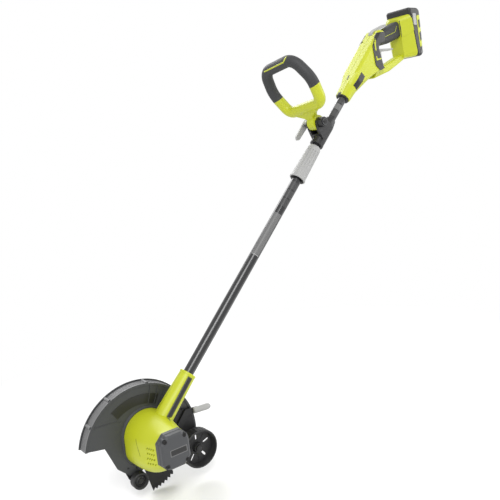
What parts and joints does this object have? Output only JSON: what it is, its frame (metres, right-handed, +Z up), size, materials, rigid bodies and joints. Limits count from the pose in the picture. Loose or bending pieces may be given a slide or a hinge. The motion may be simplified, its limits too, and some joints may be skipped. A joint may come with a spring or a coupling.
{
  "type": "cordless stick lawn edger",
  "caption": "Cordless stick lawn edger in lime and gray plastic with a telescoping black shaft, loop handle, steel blade and rear battery.",
  "frame": {"origin": "bottom centre of the bounding box of the whole machine, under the lowest point of the blade", "axes": "+X points back along the ground towards the operator, +Y to the blade and guard side, +Z up"},
  "size_m": [1.0126, 0.1897, 0.9797],
  "materials": {
    "guard_plastic": "satin",
    "lime_plastic": "satin",
    "gray_plastic": "satin",
    "light_gray_plastic": "satin",
    "black_plastic": "satin",
    "grip_rubber": "matte",
    "black_tube": "satin",
    "steel": "satin",
    "black_steel": "satin",
    "cast_aluminium": "satin",
    "board_green": "satin",
    "cell_wrap": "satin",
    "screw_steel": "satin"
  },
  "bodies": {
    "head": {"lower_tube": "black_tube", "guard_shell": "guard_plastic", "motor_pod": "lime_plastic", "motor_end_cap": "gray_plastic", "gear_cover": "cast_aluminium", "gear_plate": "steel", "motor_can": "steel", "roller_bracket": "black_steel", "roller_pin": "steel", "depth_quadrant": "black_steel", "lever_pin": "black_steel", "lock_collet": "black_plastic", "end_cap_screws": "screw_steel", "guard_screws": "steel", "roller_screws": "steel", "spindle_bearings": "steel"},
    "blade_spindle": {"spindle": "steel", "drive_gear": "steel", "inner_flange": "steel", "edger_blade": "black_steel", "outer_flange": "steel", "blade_nut": "steel"},
    "motor_rotor": {"rotor_shaft": "steel", "cooling_fan": "black_plastic", "pinion": "steel"},
    "roller": {"front_roller": "black_plastic"},
    "depth_arm": {"depth_lever": "black_steel", "depth_lever_grip": "light_gray_plastic", "wheel_axle": "black_steel"},
    "wheel": {"rear_wheel": "black_plastic"},
    "sleeve": {"lock_sleeve": "light_gray_plastic"},
    "upper": {"upper_tube": "black_tube", "handle_bracket": "black_plastic", "pivot_bolt": "black_steel", "cam_washer": "steel", "cam_pin": "steel", "rear_housing_left": "lime_plastic", "rear_housing_right": "lime_plastic", "rear_housing_screws": "screw_steel", "rear_grip": "grip_rubber", "trigger_bezel": "black_plastic", "tube_seal": "grip_rubber", "trigger_pin": "steel", "lock_off_pin": "steel", "trigger_switch": "black_plastic", "control_board": "board_green"},
    "front_loop": {"front_handle": "lime_plastic", "front_grip": "grip_rubber"},
    "cam_lever": {"clamp_lever": "light_gray_plastic"},
    "trigger_lever": {"trigger": "light_gray_plastic"},
    "lock_lever": {"lock_off_lever": "light_gray_plastic"},
    "battery": {"battery_case": "black_plastic", "battery_cells": "cell_wrap"},
    "latch_l": {"latch_left": "light_gray_plastic"},
    "latch_r": {"latch_right": "light_gray_plastic"}
  },
  "joints": [
    {"name": "blade_spin", "type": "hinge", "parent": "head", "child": "blade_spindle", "pos_m": [-0.3799, 0.03615, 0.11366], "axis": [0, 1, 0], "continuous": true},
    {"name": "rotor_spin", "type": "hinge", "parent": "head", "child": "motor_rotor", "pos_m": [-0.36976, -0.01285, 0.13542], "axis": [0, 1, 0], "continuous": true},
    {"name": "roller_spin", "type": "hinge", "parent": "head", "child": "roller", "pos_m": [-0.4037, 0.01745, 0.04656], "axis": [0, 1, 0], "continuous": true},
    {"name": "depth_adjust", "type": "hinge", "parent": "head", "child": "depth_arm", "pos_m": [-0.3139, 0.02015, 0.09966], "axis": [0, 1, 0], "range_deg": [-14, 28]},
    {"name": "wheel_spin", "type": "hinge", "parent": "depth_arm", "child": "wheel", "pos_m": [-0.26927, 0.00115, 0.07145], "axis": [0, 1, 0], "continuous": true},
    {"name": "sleeve_twist", "type": "hinge", "parent": "head", "child": "sleeve", "pos_m": [0.10575, -0.00385, 0.63169], "axis": [0.6947, 0, 0.7193], "range_deg": [0, 90]},
    {"name": "shaft_slide", "type": "slide", "parent": "head", "child": "upper", "axis": [0.6947, 0, 0.7193], "range_m": [0, 0.2]},
    {"name": "front_handle_tilt", "type": "hinge", "parent": "upper", "child": "front_loop", "pos_m": [0.14662, -0.00385, 0.72151], "axis": [0, 1, 0], "range_deg": [-30, 40]},
    {"name": "clamp_lever_swing", "type": "hinge", "parent": "upper", "child": "cam_lever", "pos_m": [0.14662, 0.02495, 0.72151], "axis": [0.7193, 0, -0.6947], "range_deg": [0, 90]},
    {"name": "trigger_pull", "type": "hinge", "parent": "upper", "child": "trigger_lever", "pos_m": [0.34591, -0.00385, 0.87668], "axis": [0, -1, 0], "range_deg": [0, 9], "stiffness_Nm_per_rad": 0.6, "springref_deg": -8.59},
    {"name": "lock_off_press", "type": "hinge", "parent": "upper", "child": "lock_lever", "pos_m": [0.35991, -0.00385, 0.91868], "axis": [0, 1, 0], "range_deg": [0, 6], "stiffness_Nm_per_rad": 0.4, "springref_deg": -8.59},
    {"name": "battery_slide", "type": "slide", "parent": "upper", "child": "battery", "axis": [1, 0, 0], "range_m": [0, 0.045]},
    {"name": "latch_left_press", "type": "slide", "parent": "battery", "child": "latch_l", "axis": [0, 1, 0], "range_m": [0, 0.002], "stiffness_N_per_m": 800, "springref_m": -0.001},
    {"name": "latch_right_press", "type": "slide", "parent": "battery", "child": "latch_r", "axis": [0, -1, 0], "range_m": [0, 0.002], "stiffness_N_per_m": 800, "springref_m": -0.001}
  ],
  "couplings": [
    {"joint": "rotor_spin", "follows": "blade_spin", "ratio": -3}
  ]
}
